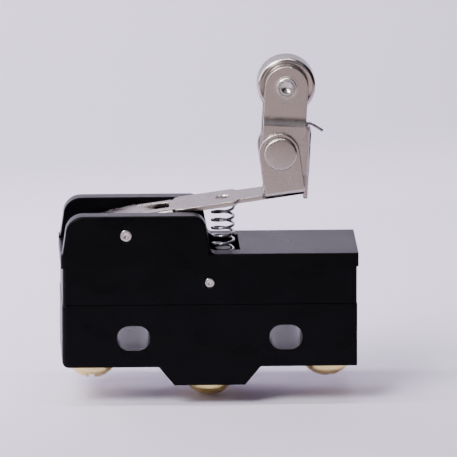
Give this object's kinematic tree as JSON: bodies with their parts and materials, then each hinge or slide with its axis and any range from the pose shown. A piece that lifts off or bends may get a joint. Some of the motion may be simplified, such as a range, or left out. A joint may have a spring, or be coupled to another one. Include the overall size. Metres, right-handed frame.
{
  "type": "limit switch",
  "caption": "Snap-action limit switch: black case with mounting slots and screw terminals, and a hinged sheet-metal lever with a one-way roller arm.",
  "frame": {"origin": "midpoint of the two mounting slots, on the middle plane of the case", "axes": "+X along the case towards the roller end, +Y from the front face to the back face, +Z from the terminals towards the roller"},
  "size_m": [0.0496, 0.0174, 0.0579],
  "materials": {
    "phenolic": "black moulded phenolic with a light satin sheen",
    "nickel_sheet": "nickel-plated pressed steel sheet",
    "roller_steel": "nickel-plated turned steel",
    "pin_steel": "nickel-plated steel pin",
    "spring_wire": "drawn spring wire",
    "terminal_brass": "stamped brass",
    "screw_brass": "yellow passivated screw",
    "spring_copper": "rolled copper spring sheet",
    "contact_silver": "silver contact",
    "plunger_plastic": "moulded red plastic"
  },
  "bodies": {
    "case": {"case_base": "phenolic", "cover": "phenolic", "hinge_pin": "pin_steel", "cover_rivets": "pin_steel", "com_terminal": "terminal_brass", "no_terminal": "terminal_brass", "nc_terminal": "terminal_brass", "com_screw": "screw_brass", "no_screw": "screw_brass", "nc_screw": "screw_brass", "com_washer": "screw_brass", "no_washer": "screw_brass", "nc_washer": "screw_brass", "tongue_anchor": "pin_steel", "blade_rivets": "pin_steel", "snap_blade": "spring_copper", "nc_contact": "contact_silver", "no_contact": "contact_silver", "return_spring": "spring_wire"},
    "plunger": {"plunger": "plunger_plastic"},
    "contact": {"moving_contact": "contact_silver"},
    "lever": {"lever": "nickel_sheet", "arm_rivet": "nickel_sheet", "torsion_spring": "spring_wire"},
    "roller_arm": {"roller_arm": "nickel_sheet", "roller_axle": "pin_steel"},
    "roller": {"roller": "roller_steel"}
  },
  "joints": [
    {"name": "lever_hinge", "type": "hinge", "parent": "case", "child": "lever", "pos_m": [-0.01393, 0, 0.0175], "axis": [0, 1, 0], "range_deg": [0, 14], "stiffness_Nm_per_rad": 0.08, "springref_deg": -11.46, "deforming": ["return_spring"]},
    {"name": "arm_pivot", "type": "hinge", "parent": "lever", "child": "roller_arm", "pos_m": [0.01194, 0, 0.0303], "axis": [0, -1, 0], "range_deg": [0, 90], "stiffness_Nm_per_rad": 0.006, "springref_deg": -34.38, "deforming": ["torsion_spring"]},
    {"name": "roller_spin", "type": "hinge", "parent": "roller_arm", "child": "roller", "pos_m": [0.01302, 0, 0.04126], "axis": [0, 1, 0], "continuous": true},
    {"name": "plunger_slide", "type": "slide", "parent": "case", "child": "plunger", "axis": [0, 0, -1], "range_m": [0, 0.0005]},
    {"name": "contact_travel", "type": "slide", "parent": "case", "child": "contact", "axis": [0, 0, -1], "range_m": [0, 0.0005], "deforming": ["snap_blade"]}
  ],
  "couplings": [
    {"joint": "plunger_slide", "follows": "lever_hinge", "m_per_rad": 0.002},
    {"joint": "contact_travel", "follows": "lever_hinge", "m_per_rad": 0.002}
  ]
}
